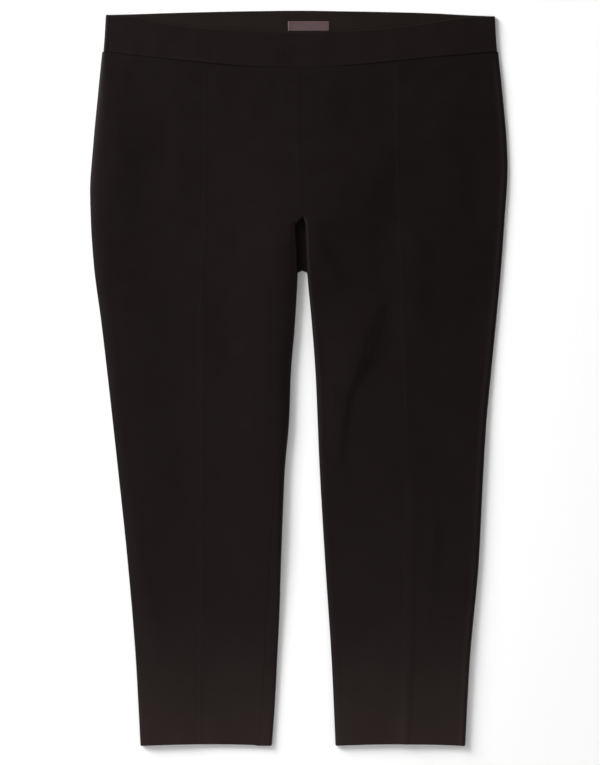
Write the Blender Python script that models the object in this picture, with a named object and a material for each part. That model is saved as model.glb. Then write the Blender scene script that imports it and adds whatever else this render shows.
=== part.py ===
"""Pull-on capri trousers, laid flat with the front side up.

Four leg panels, the two halves of the waistband and a small label, each a closed wall of cloth.
X runs across the garment, Y from the hems to the waist and Z up from the surface that it lies on.
Right and left are the wearer's, so the right leg is at -X. Sizes are millimetres until a mesh is made.
"""

import math
from collections import namedtuple

import bmesh
import bpy
from mathutils import Vector

MM = 0.001

# Cloth
WALL = 1.2  # a leg's cloth
HEM_TURN = 1.0  # what the turned-up cloth adds inside a hem
BAND_WALL = 2.4  # the waistband's cloth, doubled over its elastic
SEAM_GAP = 0.3  # between two pieces that are sewn together, or that lie on each other
AIR = 2.2  # between the front and the back of a leg
OUTER_EASE = 80.0  # how far from a folded edge the front has come to its lying height
INNER_EASE = 120.0
EDGE_HOLD = 24.0  # how far from a folded edge the soft folds have their full height
BAND_FOLD_HEIGHT = 5.4
BAND_AIR = 0.6
BAND_EASE = 40.0

# Hems
HEM_DEPTH = 28.0
HEM_CORNER_Y = -447.8
HEM_RISE = 2.0  # of the hem's middle above its corners
HEM_EDGE = 1.2  # over which the turned edge rounds off
HEM_STEP = 1.5  # either side of the hem's inner edge, over which the cloth thins
HEM_REACH_Y = -400.0  # below this the rows follow the hem's curve
HEM_RAISE = 0.9  # how much the turned hem lifts the front, and how far up the leg that fades
HEM_FADE = 150.0

# Stitched crease down each front
TUCK_HEIGHT = 0.5
TUCK_FOOT = 2.4  # half the width of the crease's foot
TUCK_SHOULDER = 1.1  # half the width of its ridge

# Crotch
SLOT_TOP_Y = 198.0  # the centre-front seam goes down between the legs here
SLOT_TURN = 14.0  # the height over which the fronts' edges turn down
SLOT_EDGE_SHARE = 0.5  # of a fold's lower quarter that the fronts' edges reach down in the slot
CROTCH_Y = 131.0  # the lower edge of the back, between the legs
CROTCH_TURN = 3.0  # the height over which the back's edges turn up below it

# Waist
WAIST_REACH_Y = 300.0  # above this the rows follow the waist seams' curves
WAIST_REF_Y = 397.0  # a nominal height of both waist seams
WAIST_STEP = 0.9  # how far the fronts' cloth lies below the waistband's face, less towards both sides
WAIST_EASE = 32.0
BAND_EDGE = 1.2  # over which the waistband's folded top rounds off

# Label
LABEL_X = (-13.2, 37.0)
LABEL_Y = (422.6, 434.6)
LABEL_WALL = 0.5

# The side edge and the stitched crease of each leg, how high its folded edge stands and how far in
# the front rolls down to it
Side = namedtuple("Side", "y outer tuck height reach")
RIGHT_SIDE = (
    Side(397.0, -239.8, -116.9, 5.0, 5.0),
    Side(344.0, -245.0, -116.9, 6.4, 10.0),
    Side(285.7, -250.4, -116.9, 7.5, 14.0),
    Side(227.1, -254.4, -116.9, 7.5, 14.0),
    Side(192.0, -253.5, -117.0, 7.5, 14.0),
    Side(139.3, -250.0, -119.0, 7.5, 14.0),
    Side(66.1, -240.5, -121.8, 7.5, 14.0),
    Side(7.5, -233.6, -121.3, 7.5, 14.0),
    Side(-109.6, -220.6, -121.2, 7.5, 14.0),
    Side(-226.7, -208.3, -120.8, 7.5, 14.0),
    Side(-343.9, -198.6, -120.3, 7.5, 14.0),
    Side(-447.8, -193.0, -120.0, 7.0, 12.0),
)
LEFT_SIDE = (
    Side(397.0, 243.0, 117.3, 4.6, 4.0),
    Side(344.0, 248.5, 117.3, 4.0, 3.0),
    Side(285.7, 253.5, 117.4, 3.5, 3.0),
    Side(256.4, 254.5, 118.3, 3.6, 3.0),
    Side(192.0, 250.7, 120.6, 3.8, 3.0),
    Side(139.3, 247.0, 122.2, 3.7, 3.0),
    Side(66.1, 240.2, 124.5, 3.8, 3.2),
    Side(7.5, 234.4, 127.2, 4.3, 3.5),
    Side(-51.1, 228.8, 128.6, 5.2, 3.5),
    Side(-109.6, 225.1, 128.9, 6.0, 3.5),
    Side(-226.7, 219.0, 128.0, 6.0, 3.5),
    Side(-343.9, 208.3, 126.5, 6.8, 3.5),
    Side(-447.8, 202.6, 126.5, 6.7, 3.5),
)

# The inner edge of each leg, from where the fronts part. inseam is the cloth between the fold's tip
# and the inseam, which is above zero where the back panel comes round onto the front.
Inner = namedtuple("Inner", "y edge inseam height reach")
RIGHT_INNER = (
    Inner(397.0, 5.4, 0.0, 5.2, 4.0),
    Inner(330.0, 5.4, 0.0, 6.2, 4.0),
    Inner(260.0, 5.4, 0.0, 8.2, 4.0),
    Inner(198.0, 5.4, 0.0, 10.2, 5.0),
    Inner(184.0, -3.2, 0.0, 11.0, 7.0),
    Inner(139.3, -1.3, 0.0, 12.0, 12.0),
    Inner(66.1, -4.7, 0.0, 11.5, 15.0),
    Inner(7.5, -9.6, 1.0, 11.5, 15.0),
    Inner(-51.1, -11.8, 6.5, 11.0, 12.0),
    Inner(-109.6, -16.9, 10.5, 10.5, 8.0),
    Inner(-168.2, -19.6, 13.2, 10.5, 5.0),
    Inner(-226.7, -21.8, 14.8, 9.3, 3.0),
    Inner(-285.3, -23.6, 15.9, 7.2, 2.5),
    Inner(-343.9, -26.5, 16.0, 6.0, 2.5),
    Inner(-402.4, -29.6, 16.0, 5.4, 2.5),
    Inner(-447.8, -33.0, 16.0, 5.4, 2.5),
)
LEFT_INNER = (
    Inner(397.0, 5.4, 0.0, 5.2, 4.0),
    Inner(330.0, 5.4, 0.0, 6.2, 4.0),
    Inner(260.0, 5.4, 0.0, 8.2, 4.0),
    Inner(198.0, 5.4, 0.0, 10.2, 2.5),
    Inner(186.0, 7.4, 0.0, 11.0, 2.5),
    Inner(139.3, 9.3, 0.0, 11.0, 3.0),
    Inner(66.1, 15.7, 0.0, 9.0, 4.5),
    Inner(7.5, 20.1, 0.0, 7.5, 7.0),
    Inner(-109.6, 25.2, 0.0, 6.5, 7.0),
    Inner(-226.7, 32.1, 0.0, 6.0, 7.0),
    Inner(-343.9, 39.8, 0.0, 6.0, 7.0),
    Inner(-447.8, 44.6, 0.0, 6.0, 7.0),
)

# The centre-front seam above the legs, and the centre-back seam, which goes down to the crotch
Centre = namedtuple("Centre", "y front back")
CENTRES = (
    Centre(397.0, 0.8, 0.8),
    Centre(285.7, 1.0, 1.0),
    Centre(227.1, 2.8, 2.6),
    Centre(198.0, 5.4, 3.4),
    Centre(131.0, 5.4, 4.2),
)

# The waistband's two seams and its two folded top edges, across the garment
Waist = namedtuple("Waist", "x front_seam front_top back_seam back_top")
WAIST = (
    Waist(-236.0, 397.3, 442.4, 397.3, 442.7),
    Waist(-205.0, 393.3, 440.9, 398.8, 443.4),
    Waist(-160.0, 388.6, 431.5, 400.4, 444.9),
    Waist(-110.0, 383.4, 426.2, 402.0, 446.2),
    Waist(-55.0, 379.2, 423.2, 403.3, 447.3),
    Waist(0.0, 377.8, 421.7, 403.8, 447.8),
    Waist(55.0, 380.4, 422.9, 403.2, 447.1),
    Waist(110.0, 385.0, 426.7, 401.9, 446.1),
    Waist(160.0, 390.3, 433.1, 400.2, 444.7),
    Waist(205.0, 394.3, 439.3, 398.4, 442.3),
    Waist(239.0, 397.3, 440.6, 397.3, 440.9),
)

# The waistband's side edges
BandSide = namedtuple("BandSide", "y right left")
BAND_SIDES = (
    BandSide(397.3, -238.2, 241.6),
    BandSide(420.0, -236.5, 239.9),
    BandSide(448.0, -235.0, 238.8),
)

# Soft folds of the fronts, from one end to the other: half width across, height over the lying cloth
Fold = namedtuple("Fold", "x0 y0 x1 y1 half_width height")
FOLDS = (
    Fold(-213.0, 330.0, -220.0, 180.0, 22.0, 0.5),
    Fold(-205.0, -170.0, -173.0, -350.0, 12.0, 0.6),
    Fold(-118.0, 230.0, -120.0, -430.0, 45.0, 1.3),
    Fold(-18.0, 170.0, -32.0, -40.0, 16.0, 0.5),
    Fold(98.0, 96.0, 56.0, -10.0, 15.0, 2.0),
    Fold(56.0, -14.0, 44.0, -110.0, 15.0, 1.4),
    Fold(14.0, 195.0, 47.0, 100.0, 11.0, 0.7),
    Fold(104.0, 310.0, 62.0, 170.0, 34.0, 2.0),
    Fold(130.0, 195.0, 138.0, 60.0, 30.0, 1.1),
    Fold(162.0, -120.0, 156.0, -320.0, 20.0, 1.3),
    Fold(127.0, 180.0, 126.0, -430.0, 45.0, 0.9),
    Fold(-160.0, -447.0, -120.0, -447.0, 30.0, 1.0),
    Fold(110.0, -447.0, 170.0, -447.0, 30.0, 0.7),
)

# Rows of the meshes, from the hem up, and how many columns lie between the shaped ones
HEM_ROWS = (
    HEM_CORNER_Y,
    HEM_CORNER_Y + HEM_EDGE,
    HEM_CORNER_Y + HEM_DEPTH - HEM_STEP,
    HEM_CORNER_Y + HEM_DEPTH + HEM_STEP,
)
LEG_ROWS = (-380.0, -335.0, -290.0, -245.0, -200.0, -155.0, -110.0, -65.0, -20.0, 25.0, 70.0, 105.0)
FRONT_ROWS = HEM_ROWS + LEG_ROWS + (
    CROTCH_Y,
    CROTCH_Y + CROTCH_TURN,
    160.0,
    SLOT_TOP_Y - 1.4 * SLOT_TURN,
    SLOT_TOP_Y - SLOT_TURN,
    SLOT_TOP_Y - 0.5 * SLOT_TURN,
    SLOT_TOP_Y,
    SLOT_TOP_Y + SLOT_TURN,
    250.0,
    WAIST_REACH_Y,
    340.0,
    375.0,
    WAIST_REF_Y,
)
BACK_ROWS = HEM_ROWS + LEG_ROWS + (
    CROTCH_Y - 2.0 * CROTCH_TURN,
    CROTCH_Y - CROTCH_TURN,
    CROTCH_Y - 0.5 * CROTCH_TURN,
    CROTCH_Y,
    160.0,
    205.0,
    250.0,
    WAIST_REACH_Y,
    350.0,
    WAIST_REF_Y,
)
OUTER_COLUMNS = 7
INNER_COLUMNS = 7
BACK_COLUMNS = 4
BAND_COLUMNS = 14
ARC_STEPS = 3  # columns round a quarter of a folded edge
ARC_CLEAR = 2.0  # between an arc and the next column
FLAP_SHARE = 0.7  # of the back's inner edge that is arc where it doesn't come round onto the front
SLOPE_STEP = 0.2  # either side of a point, over which the front's slope is taken

# Cloth colours, as linear red, green and blue
LEG_COLOUR = (0.0125, 0.0093, 0.0084)
BAND_COLOUR = (0.0137, 0.0103, 0.0096)
LABEL_COLOUR = (0.095, 0.065, 0.070)

# A leg's two tables
Leg = namedtuple("Leg", "side inner")

# One point of a wall: its middle, the direction of its outer face in XZ, and the wall to either side
Point = namedtuple("Point", "x y z nx nz up down")


def smooth(a):
    """A ramp from 0 to 1 with level ends."""
    a = min(max(a, 0.0), 1.0)
    return a * a * (3.0 - 2.0 * a)


def mix(a, b, share):
    return a + (b - a) * share


def slope_at(xs, ys, i):
    """The slope of a curve through a table at row i, level where the table turns."""
    if i in (0, len(xs) - 1):
        j = max(i - 1, 0)
        return (ys[j + 1] - ys[j]) / (xs[j + 1] - xs[j])
    before = (ys[i] - ys[i - 1]) / (xs[i] - xs[i - 1])
    after = (ys[i + 1] - ys[i]) / (xs[i + 1] - xs[i])
    if before * after <= 0.0:
        return 0.0
    return 2.0 * before * after / (before + after)


def read(table, key, column, at):
    """A column of a table at any value of its key column, on a curve that never overshoots a row."""
    rows = sorted(table, key=lambda row: getattr(row, key))
    xs = [getattr(row, key) for row in rows]
    ys = [getattr(row, column) for row in rows]
    at = min(max(at, xs[0]), xs[-1])
    i = max(j for j in range(len(xs) - 1) if xs[j] <= at)
    span = xs[i + 1] - xs[i]
    t = (at - xs[i]) / span
    start, end = slope_at(xs, ys, i) * span, slope_at(xs, ys, i + 1) * span
    return (
        ys[i] * (1.0 + 2.0 * t) * (1.0 - t) ** 2
        + start * t * (1.0 - t) ** 2
        + ys[i + 1] * t * t * (3.0 - 2.0 * t)
        + end * t * t * (t - 1.0)
    )


def outer_edge(leg, y):
    return read(leg.side, "y", "outer", y)


def outer_height(leg, y):
    return read(leg.side, "y", "height", y)


def inner_height(leg, y):
    return read(leg.inner, "y", "height", y)


def inner_edge(leg, y):
    """The front's inner edge: the centre-front seam, then the fold of the inner leg."""
    if y >= SLOT_TOP_Y:
        return read(CENTRES, "y", "front", y)
    return read(leg.inner, "y", "edge", y)


def inner_guide(leg, y):
    """The inner edge without its turn at the slot's top, for the front to rise towards."""
    rows = [row for row in leg.inner if row.y >= 205.0 or row.y < 160.0]
    return read(rows, "y", "edge", y)


def hem_turn(y):
    """What the hem adds to the inside of the cloth at a height."""
    return HEM_TURN * (1.0 - smooth((y - (HEM_CORNER_Y + HEM_DEPTH - HEM_STEP)) / (2.0 * HEM_STEP)))


def hem_raise(y):
    """How much the turned hem lifts the front at a height."""
    return HEM_RAISE * (1.0 - smooth((y - (HEM_CORNER_Y + HEM_DEPTH - HEM_STEP)) / HEM_FADE))


def edge_round(distance, reach):
    """What is left of a wall near an edge that rounds off."""
    a = min(distance / reach, 1.0)
    return mix(0.35, 1.0, math.sqrt(1.0 - (1.0 - a) ** 2))


def fold_lift(x, y):
    """How far the soft folds raise the front above its lying height."""
    lift = 0.0
    for fold in FOLDS:
        along = Vector((fold.x1 - fold.x0, fold.y1 - fold.y0))
        to_point = Vector((x - fold.x0, y - fold.y0))
        share = to_point.dot(along) / along.length_squared
        across = to_point.cross(along) / along.length
        if -0.3 < share < 1.3:
            end_fade = smooth((share + 0.3) / 0.6) * smooth((1.3 - share) / 0.6)
            lift += fold.height * end_fade * math.exp(-((across / fold.half_width) ** 2))
    return lift


def inner_turn(y):
    """1 where the front's inner edge turns down between the legs, 0 on the centre-front seam."""
    return 1.0 - smooth((y - (SLOT_TOP_Y - SLOT_TURN)) / SLOT_TURN)


def band_height(x, y):
    """The height of the middle of the front waistband."""
    right, left = read(BAND_SIDES, "y", "right", y), read(BAND_SIDES, "y", "left", y)
    to_side = min(x - right, left - x) - BAND_FOLD_HEIGHT
    lying = BAND_WALL + SEAM_GAP + BAND_AIR + BAND_WALL / 2.0
    return mix(BAND_FOLD_HEIGHT - BAND_WALL / 2.0, lying, smooth(to_side / BAND_EASE))


def toward_fold(level, offset, height, reach, ease):
    """A lying height brought up to a fold's own height near it."""
    return mix(height - WALL / 2.0, level, smooth((abs(offset) - reach) / ease))


def held(offset):
    """What a folded edge leaves of the soft folds near it."""
    return mix(0.3, 1.0, smooth(abs(offset) / EDGE_HOLD))


def rolled(z, offset, height, reach, turn):
    """The upper layer rolled down over a fold's reach."""
    inward = max(abs(offset) - WALL / 2.0, 0.0)
    roll = math.sqrt(1.0 - (1.0 - min(inward / reach, 1.0)) ** 2)
    return mix(z, height / 2.0 + (z - height / 2.0) * roll, turn)


def waist_step(x):
    """How far the fronts' cloth lies below the waistband's face at the seam."""
    return WAIST_STEP * smooth((x + 240.0) / 150.0) * mix(1.0, 0.6, smooth((x - 60.0) / 120.0))


def front_height(leg, x, y):
    """The height of the middle of the upper layer, which rolls down to its folded edges."""
    outer, inner = x - outer_edge(leg, y), x - inner_edge(leg, y)
    outer_top, inner_top = outer_height(leg, y), inner_height(leg, y)
    outer_reach, inner_reach = read(leg.side, "y", "reach", y), read(leg.inner, "y", "reach", y)
    turn = inner_turn(y)
    seam = read(WAIST, "x", "front_seam", x)
    below_waist = smooth((seam - y) / WAIST_EASE)
    at_seam = band_height(x, seam) + (BAND_WALL - WALL) / 2.0 - waist_step(x)
    level = mix(at_seam, WALL + SEAM_GAP + AIR + hem_raise(y) + WALL / 2.0, below_waist)
    level = toward_fold(level, outer, outer_top, outer_reach, OUTER_EASE)
    level = toward_fold(level, x - inner_guide(leg, y), inner_top, inner_reach, INNER_EASE)
    at_edges = held(outer) * mix(1.0, held(inner), turn)
    z = level + fold_lift(x, y) * below_waist * at_edges
    z = rolled(z, outer, outer_top, outer_reach, 1.0)
    return rolled(z, inner, inner_top, inner_reach, turn)


def quarter(height, wall=WALL):
    """The cloth in a quarter turn of a folded edge."""
    return (height - wall) / 2.0 * math.pi / 2.0


def arc(height, wall=WALL):
    """Places along the cloth from a fold's tip to the end of its quarter turn."""
    return [SEAM_GAP / 2.0] + [quarter(height, wall) * (i + 1) / ARC_STEPS for i in range(ARC_STEPS)]


def fold_point(edge, inward, t, wall, height):
    """A point on a folded edge, t along the cloth from the fold's tip, above zero on its upper side.

    A seam at the tip has level faces, so that its gap is the same through the wall.
    """
    radius = (height - wall) / 2.0
    angle = min(max(t / radius, -math.pi / 2.0), math.pi / 2.0)
    beyond = max(abs(t) - radius * math.pi / 2.0, 0.0)
    middle = edge + inward * (radius + wall / 2.0)
    x = middle + inward * (beyond - radius * math.cos(angle))
    z = height / 2.0 + radius * math.sin(angle)
    if abs(t) < SEAM_GAP:
        return x, z, -inward, 0.0
    return x, z, -inward * math.cos(angle), math.sin(angle)


def leg_point(x, y, z, nx, nz, rise=0.0, turned=1.0):
    """A point of a leg's cloth, with the hem's turned-up cloth inside it and a rise on its face."""
    return Point(x, y, z, nx, nz, WALL / 2.0 + rise, WALL / 2.0 + turned * hem_turn(y))


def leg_fold(leg, edge, inward, t, y, height):
    """A point on a leg's folded edge, on the upper layer's rolled form above the fold's tip.

    The hem's turned-up cloth thins towards the tip, where it is pressed together.
    """
    x, z, nx, nz = fold_point(edge, inward, t, WALL, height)
    if t > SEAM_GAP:
        z = front_height(leg, x, y)
        step = front_height(leg, x + SLOPE_STEP, y) - front_height(leg, x - SLOPE_STEP, y)
        nx, nz = -step / (2.0 * SLOPE_STEP), 1.0
    return leg_point(x, y, z, nx, nz, turned=smooth(abs(t) / (2.0 * quarter(height))))


def waist_row(y, seam):
    """A nominal height moved so that the top row lies on the waist seam."""
    if y <= WAIST_REACH_Y:
        return y
    share = (y - WAIST_REACH_Y) / (WAIST_REF_Y - WAIST_REACH_Y)
    return mix(WAIST_REACH_Y, seam - SEAM_GAP / 2.0, share)


def hem_row(leg, x, y):
    """A nominal height moved so that the lowest row follows the hem's curve."""
    if y >= HEM_REACH_Y:
        return y
    outer = outer_edge(leg, y)
    inner = inner_edge(leg, y)
    across = (2.0 * x - outer - inner) / (outer - inner)
    share = (HEM_REACH_Y - y) / (HEM_REACH_Y - HEM_CORNER_Y)
    return y + share * HEM_RISE * max(1.0 - across * across, 0.0)


def row_at(leg, x, y, seam_column):
    seam = read(WAIST, "x", seam_column, x)
    return waist_row(hem_row(leg, x, y), seam)


def taper(point, share):
    return point._replace(up=point.up * share, down=point.down * share)


def spread(start, end, count):
    """Values strictly between two ends, evenly spaced."""
    return [mix(start, end, (i + 1) / (count + 1)) for i in range(count)]


def tuck_rise(offset):
    """The height of the stitched crease, offset from its line."""
    inside = max(TUCK_FOOT - abs(offset), 0.0) / (TUCK_FOOT - TUCK_SHOULDER)
    return TUCK_HEIGHT * mix(0.85, 1.0, smooth(inside - 1.0)) * smooth(inside)


def front_points(leg, nominal_y):
    """A front panel's points across the leg at one row, from the side seam to the inner seam."""
    outer = outer_edge(leg, nominal_y)
    tuck = read(leg.side, "y", "tuck", nominal_y)
    inner = inner_edge(leg, nominal_y)
    inward = 1.0 if outer < inner else -1.0
    turn = inner_turn(nominal_y)
    inner_top = inner_height(leg, nominal_y)
    drop = SLOT_EDGE_SHARE * quarter(inner_top) * turn * smooth((nominal_y - CROTCH_Y) / CROTCH_TURN)
    inseam = read(leg.inner, "y", "inseam", nominal_y) - drop

    outer_y = row_at(leg, outer, nominal_y, "front_seam")
    height = outer_height(leg, outer_y)
    points = [leg_fold(leg, outer_edge(leg, outer_y), inward, t, outer_y, height) for t in arc(height)]

    first = outer + inward * (height / 2.0 + ARC_CLEAR)
    last = inner - inward * (max(inner_top / 2.0, inseam + quarter(inner_top)) + ARC_CLEAR)
    tuck_foot = inward * TUCK_FOOT
    across = spread(first, tuck - tuck_foot, OUTER_COLUMNS)
    across += [tuck + offset for offset in (-tuck_foot, -TUCK_SHOULDER, 0.0, TUCK_SHOULDER, tuck_foot)]
    across += spread(tuck + tuck_foot, last, INNER_COLUMNS)
    for x in sorted(across, reverse=inward < 0.0):
        y = row_at(leg, x, nominal_y, "front_seam")
        points.append(leg_point(x, y, front_height(leg, x, y), 0.0, 1.0, tuck_rise(x - tuck)))

    inner_y = row_at(leg, inner, nominal_y, "front_seam")
    edge = inner_edge(leg, inner_y)
    for t in reversed(arc(inner_top)):
        turned = leg_fold(leg, edge, -inward, inseam + t, inner_y, inner_top)
        level_x = edge - inward * (inseam + t)
        level_z = front_height(leg, level_x, inner_y)
        x = mix(level_x, turned.x, turn)
        z = mix(level_z, turned.z, turn)
        points.append(turned._replace(x=x, z=z, nx=turned.nx * turn, nz=mix(1.0, turned.nz, turn)))
    return points


def back_points(leg, nominal_y):
    """A back panel's points across the leg at one row, from the side seam to the inner seam."""
    outer = outer_edge(leg, nominal_y)
    inner = inner_edge(leg, nominal_y)
    centre = read(CENTRES, "y", "back", nominal_y)
    inward = 1.0 if outer < inner else -1.0
    turn = smooth((CROTCH_Y - nominal_y) / CROTCH_TURN)
    inseam = read(leg.inner, "y", "inseam", nominal_y)

    outer_y = row_at(leg, outer, nominal_y, "back_seam")
    height = outer_height(leg, outer_y)
    points = [leg_fold(leg, outer_edge(leg, outer_y), inward, -t, outer_y, height) for t in arc(height)]

    inner_top = inner_height(leg, nominal_y)
    turned_up = quarter(inner_top)
    end = inseam - SEAM_GAP / 2.0
    knee = min(turned_up, mix(-turned_up, end, FLAP_SHARE))
    rim = mix(centre, inner, turn)
    first = outer + inward * height / 2.0
    last = rim - inward * (turned_up + end + ARC_CLEAR)
    for x in spread(first, last, BACK_COLUMNS):
        points.append(leg_point(x, row_at(leg, x, nominal_y, "back_seam"), WALL / 2.0, 0.0, -1.0))

    inner_y = row_at(leg, rim, nominal_y, "back_seam")
    along = [mix(-turned_up, knee, i / (2 * ARC_STEPS)) for i in range(2 * ARC_STEPS + 1)]
    for t in along + spread(knee, end, 1) + [end]:
        turned = leg_fold(leg, inner, -inward, t, inner_y, inner_top)
        x = mix(centre - inward * (end - t + SEAM_GAP / 2.0), turned.x, turn)
        z = mix(WALL / 2.0, turned.z, turn)
        points.append(turned._replace(x=x, z=z, nx=turned.nx * turn, nz=mix(-1.0, turned.nz, turn)))
    return points


def band_points(upper, distance, share):
    """Half of the waistband across the garment, at one share of its depth and one distance from its top."""
    seam_column, top_column = ("front_seam", "front_top") if upper else ("back_seam", "back_top")
    sign = 1.0 if upper else -1.0
    half = BAND_WALL / 2.0 * edge_round(distance, BAND_EDGE)

    def y_at(x):
        seam = read(WAIST, "x", seam_column, x) + SEAM_GAP / 2.0
        top = read(WAIST, "x", top_column, x)
        return mix(seam, top - BAND_EDGE, share) if share < 1.0 else top - distance

    def edge_points(column, inward):
        found = []
        for t in arc(BAND_FOLD_HEIGHT, BAND_WALL):
            y = y_at(read(BAND_SIDES, "y", column, WAIST_REF_Y))
            edge = read(BAND_SIDES, "y", column, y)
            x, z, nx, nz = fold_point(edge, inward, sign * t, BAND_WALL, BAND_FOLD_HEIGHT)
            found.append(Point(x, y, z, nx, nz, half, half))
        return found

    right, left = edge_points("right", 1.0), edge_points("left", -1.0)
    flat = []
    for x in spread(right[-1].x, left[-1].x, BAND_COLUMNS):
        y = y_at(x)
        z = band_height(x, y) if upper else BAND_WALL / 2.0
        flat.append(Point(x, y, z, 0.0, sign, half, half))
    return right + flat + left[::-1]


def sheet_object(name, rows, material):
    """A closed wall through rows of points, its rim joined face to face."""
    mesh = bmesh.new()

    def vertex(point, side):
        wall = point.up if side > 0 else -point.down
        length = math.hypot(point.nx, point.nz)
        x = point.x + wall * point.nx / length
        z = point.z + wall * point.nz / length
        return mesh.verts.new((x * MM, point.y * MM, z * MM))

    outside = [[vertex(point, 1) for point in row] for row in rows]
    inside = [[vertex(point, -1) for point in row] for row in rows]
    last_row, last_column = len(rows) - 1, len(rows[0]) - 1
    for i in range(last_row):
        for j in range(last_column):
            for grid in (outside, inside):
                mesh.faces.new((grid[i][j], grid[i][j + 1], grid[i + 1][j + 1], grid[i + 1][j]))
    for i in range(last_row):
        for j in (0, last_column):
            mesh.faces.new((outside[i][j], outside[i + 1][j], inside[i + 1][j], inside[i][j]))
    for j in range(last_column):
        for i in (0, last_row):
            mesh.faces.new((outside[i][j], outside[i][j + 1], inside[i][j + 1], inside[i][j]))
    bmesh.ops.recalc_face_normals(mesh, faces=mesh.faces)
    data = bpy.data.meshes.new(name)
    mesh.to_mesh(data)
    mesh.free()
    data.shade_smooth()
    data.materials.append(material)
    made = bpy.data.objects.new(name, data)
    bpy.context.scene.collection.objects.link(made)
    return made


def cloth_material(name, colour, roughness):
    material = bpy.data.materials.new(name)
    material.use_nodes = True
    shader = material.node_tree.nodes["Principled BSDF"]
    shader.inputs["Base Color"].default_value = (*colour, 1.0)
    shader.inputs["Roughness"].default_value = roughness
    shader.inputs["Metallic"].default_value = 0.0
    return material


def leg_panel(name, points_of, leg, rows, material):
    """A leg panel through its rows, with the hem's lower edge rounded off."""
    made = []
    for y in rows:
        share = edge_round(y - HEM_CORNER_Y, HEM_EDGE)
        made.append([taper(point, share) for point in points_of(leg, y)])
    return sheet_object(name, made, material)


def band_half(name, upper, material):
    """Half of the waistband, from its seam to its folded top."""
    rows = [band_points(upper, BAND_EDGE, share / 3.0) for share in range(3)]
    rows += [band_points(upper, distance * BAND_EDGE, 1.0) for distance in (1.0, 0.3, 0.0)]
    return sheet_object(name, rows, material)


def label_plate(name, material):
    """The label, lying on the inside of the back waistband."""
    z = BAND_WALL + SEAM_GAP + LABEL_WALL / 2.0
    half = LABEL_WALL / 2.0
    rows = [[Point(x, y, z, 0.0, 1.0, half, half) for x in LABEL_X] for y in LABEL_Y]
    return sheet_object(name, rows, material)


for old in list(bpy.data.objects):
    bpy.data.objects.remove(old)

leg_cloth = cloth_material("leg_cloth", LEG_COLOUR, 0.85)
band_cloth = cloth_material("band_cloth", BAND_COLOUR, 0.85)
label_cloth = cloth_material("label_cloth", LABEL_COLOUR, 0.6)

for side, leg in (("right", Leg(RIGHT_SIDE, RIGHT_INNER)), ("left", Leg(LEFT_SIDE, LEFT_INNER))):
    leg_panel("front_" + side, front_points, leg, FRONT_ROWS, leg_cloth)
    leg_panel("back_" + side, back_points, leg, BACK_ROWS, leg_cloth)
band_half("waistband_front", True, band_cloth)
band_half("waistband_back", False, band_cloth)
label_plate("label", label_cloth)
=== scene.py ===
"""The looks of pull-on capri trousers, laid flat with the front side up.

Each cut piece is a fine wall of cloth on its solid's form, with its creases, seams and stitches.
X runs across the garment, Y from the hems to the waist and Z up from the floor, as in the frame.
Right and left are the wearer's. Sizes are millimetres until a mesh is made.
"""

import math
from collections import namedtuple

import bpy
import numpy as np
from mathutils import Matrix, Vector, noise


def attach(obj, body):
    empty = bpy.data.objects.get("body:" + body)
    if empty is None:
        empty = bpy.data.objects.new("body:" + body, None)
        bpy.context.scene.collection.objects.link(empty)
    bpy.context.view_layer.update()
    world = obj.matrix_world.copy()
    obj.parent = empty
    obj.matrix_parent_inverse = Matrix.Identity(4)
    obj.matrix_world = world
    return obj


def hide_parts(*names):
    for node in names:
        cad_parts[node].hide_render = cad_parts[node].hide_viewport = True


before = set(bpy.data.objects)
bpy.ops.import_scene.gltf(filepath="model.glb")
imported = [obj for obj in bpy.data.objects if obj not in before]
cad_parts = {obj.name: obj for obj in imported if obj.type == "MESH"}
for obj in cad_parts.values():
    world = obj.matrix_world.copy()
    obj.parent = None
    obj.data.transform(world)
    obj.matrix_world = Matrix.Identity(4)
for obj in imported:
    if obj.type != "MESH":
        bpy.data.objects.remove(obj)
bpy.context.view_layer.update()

MM = 0.001

# Cloth
WALL = 1.2
HEM_TURN = 1.0  # what the turned-up cloth adds inside a hem
BAND_WALL = 2.4
SEAM_GAP = 0.06
SEAM_ROUND = 1.0  # over which cloth rounds down into a seam
SEAM_DEPTH = 0.3  # what is lost of half a wall there
BAND_FOLD_HEIGHT = 5.4
BAND_AIR = 0.8
BAND_EASE = 40.0
AIR = 2.4  # between the two layers of a leg
OUTER_EASE = 80.0  # how far from a folded edge the front has come to its lying height
INNER_EASE = 120.0
DEEPEST = 1.2  # how far a trough may sink the front below its lying height
EDGE_HOLD = 24.0  # how far from an edge the creases have their full height
HELD_SHARE = 0.3  # of a crease that is left at the edge itself

# Painted light: the cloth's colour is lightened towards the hems, standing in for the brighter light
# that falls there
PAINTED_LIGHT_FROM = -220.0
PAINTED_LIGHT_TO = -448.0
PAINTED_LIGHT_GAIN = 1.8  # how much lighter the cloth is there

# Welt of the turnings along the left side seam
WELT_HEIGHT = 1.0
WELT_WIDTH = 4.0

# Hems
HEM_DEPTH = 28.0
HEM_CORNER_Y = -447.8
HEM_LINE_Y = HEM_CORNER_Y + HEM_DEPTH  # the top of the turned-up cloth
HEM_RISE = 2.0  # of the hem's middle above its corners
HEM_EDGE = 1.2  # over which its lower edge rounds off
HEM_LEAST = 0.25  # the share of its wall that is left there
HEM_STEP = 1.5
HEM_REACH_Y = -400.0  # above it the rows run level
HEM_RAISE = 0.9  # how much the turned hem lifts the front, and how far up the leg that fades
HEM_FADE = 150.0

# Crotch
SLOT_TOP_Y = 198.0
SLOT_TURN = 14.0
SLOT_EDGE_DROP = 1.25
SLOT_MARGIN = 10.0  # the gap's rows of the inner edge tables start and end this much higher
CROTCH_Y = 131.0
CROTCH_TURN = 3.0

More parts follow.
